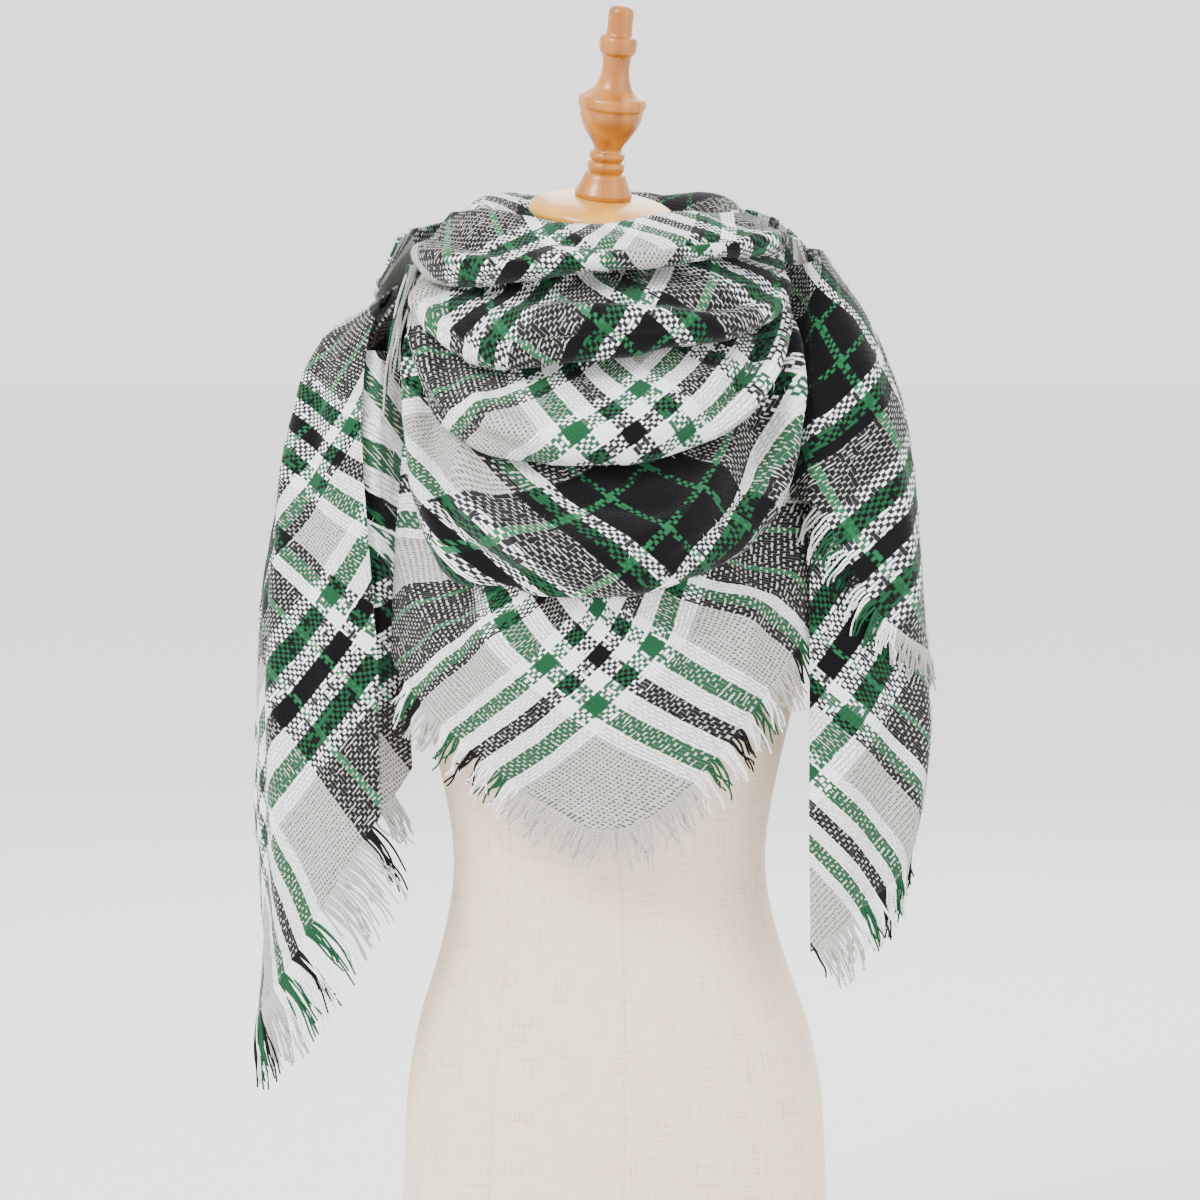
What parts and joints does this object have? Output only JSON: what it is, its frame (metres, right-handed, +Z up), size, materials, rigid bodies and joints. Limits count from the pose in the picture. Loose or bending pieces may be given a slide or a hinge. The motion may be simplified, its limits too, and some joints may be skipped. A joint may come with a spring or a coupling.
{
  "type": "blanket scarf on dress form",
  "caption": "Fringed plaid blanket scarf wound round the neck and shoulders of a limbless countertop dress form.",
  "frame": {"origin": "centre of the round base's underside, which stands on the floor or table", "axes": "+Z up the post; -Y to the front, where the scarf's point hangs; +X to the right as seen from the front"},
  "size_m": [0.5146, 0.3631, 1.0937],
  "materials": {
    "brushed plaid cloth": "brushed, soft, slightly hairy, woven in a black, white, green and grey plaid",
    "plaid fringe yarn": "loose matte yarn ends in the plaid's colours",
    "linen cover": "plain woven natural linen, stretched tight",
    "varnished beech": "turned and clear varnished, satin gloss"
  },
  "bodies": {
    "root": {"torso": "linen cover", "neck_cap": "varnished beech", "finial": "varnished beech", "base": "varnished beech", "post": "varnished beech", "scarf_neck_fold_1": "brushed plaid cloth", "scarf_neck_fold_2": "brushed plaid cloth", "scarf_neck_fold_3": "brushed plaid cloth", "scarf_neck_fold_4": "brushed plaid cloth", "scarf_back_collar": "brushed plaid cloth", "scarf_back_wrap_inner": "brushed plaid cloth", "scarf_back_wrap_outer": "brushed plaid cloth", "scarf_front_point": "brushed plaid cloth", "scarf_left_tail": "brushed plaid cloth", "scarf_left_under_ply": "brushed plaid cloth", "scarf_right_flap": "brushed plaid cloth", "scarf_right_tail": "brushed plaid cloth", "fringe_point_left": "plaid fringe yarn", "fringe_point_right": "plaid fringe yarn", "fringe_left_tail_front": "plaid fringe yarn", "fringe_left_tail_back": "plaid fringe yarn", "fringe_left_under_ply": "plaid fringe yarn", "fringe_right_flap": "plaid fringe yarn", "fringe_right_tail": "plaid fringe yarn", "fringe_back_outer": "plaid fringe yarn", "fringe_back_inner": "plaid fringe yarn", "fringe_neck_corner": "plaid fringe yarn"}
  },
  "joints": []
}
